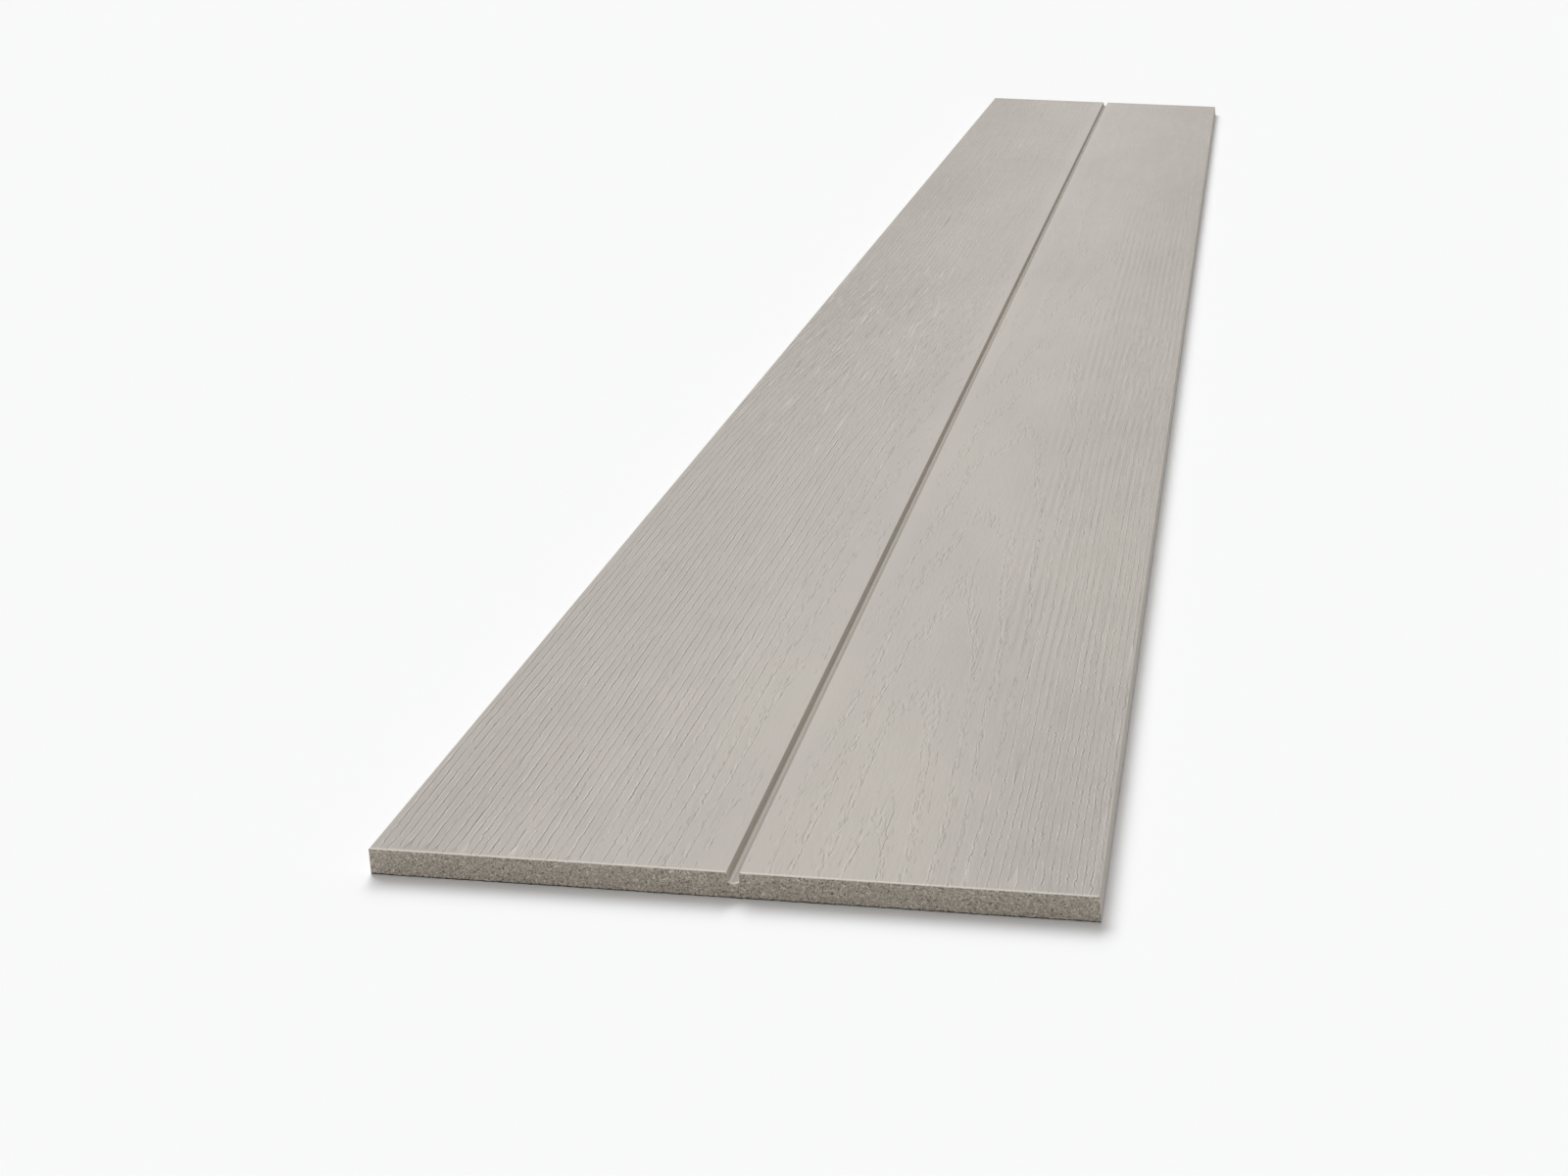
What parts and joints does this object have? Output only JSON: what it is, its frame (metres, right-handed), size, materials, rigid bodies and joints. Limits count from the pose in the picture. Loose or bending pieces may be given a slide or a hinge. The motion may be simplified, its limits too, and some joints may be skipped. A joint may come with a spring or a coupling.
{
  "type": "lap siding board",
  "caption": "Long flat lap siding board of pressed wood fibre, with a painted wood-grain face, a shadow groove along its middle and slightly tilted long edges, for cladding outside walls.",
  "frame": {"origin": "middle of the board's footprint, on the flat back that it lies on", "axes": "+Y along the length, +X across the width towards the edge that runs out to the back, +Z out of the painted face"},
  "size_m": [0.3059, 3.658, 0.0111],
  "materials": {
    "painted_fibreboard": "matte warm grey paint on an embossed wood-grain face, bare grey-brown fibre at the sawn ends and the back"
  },
  "bodies": {
    "root": {"siding_board": "painted_fibreboard"}
  },
  "joints": []
}
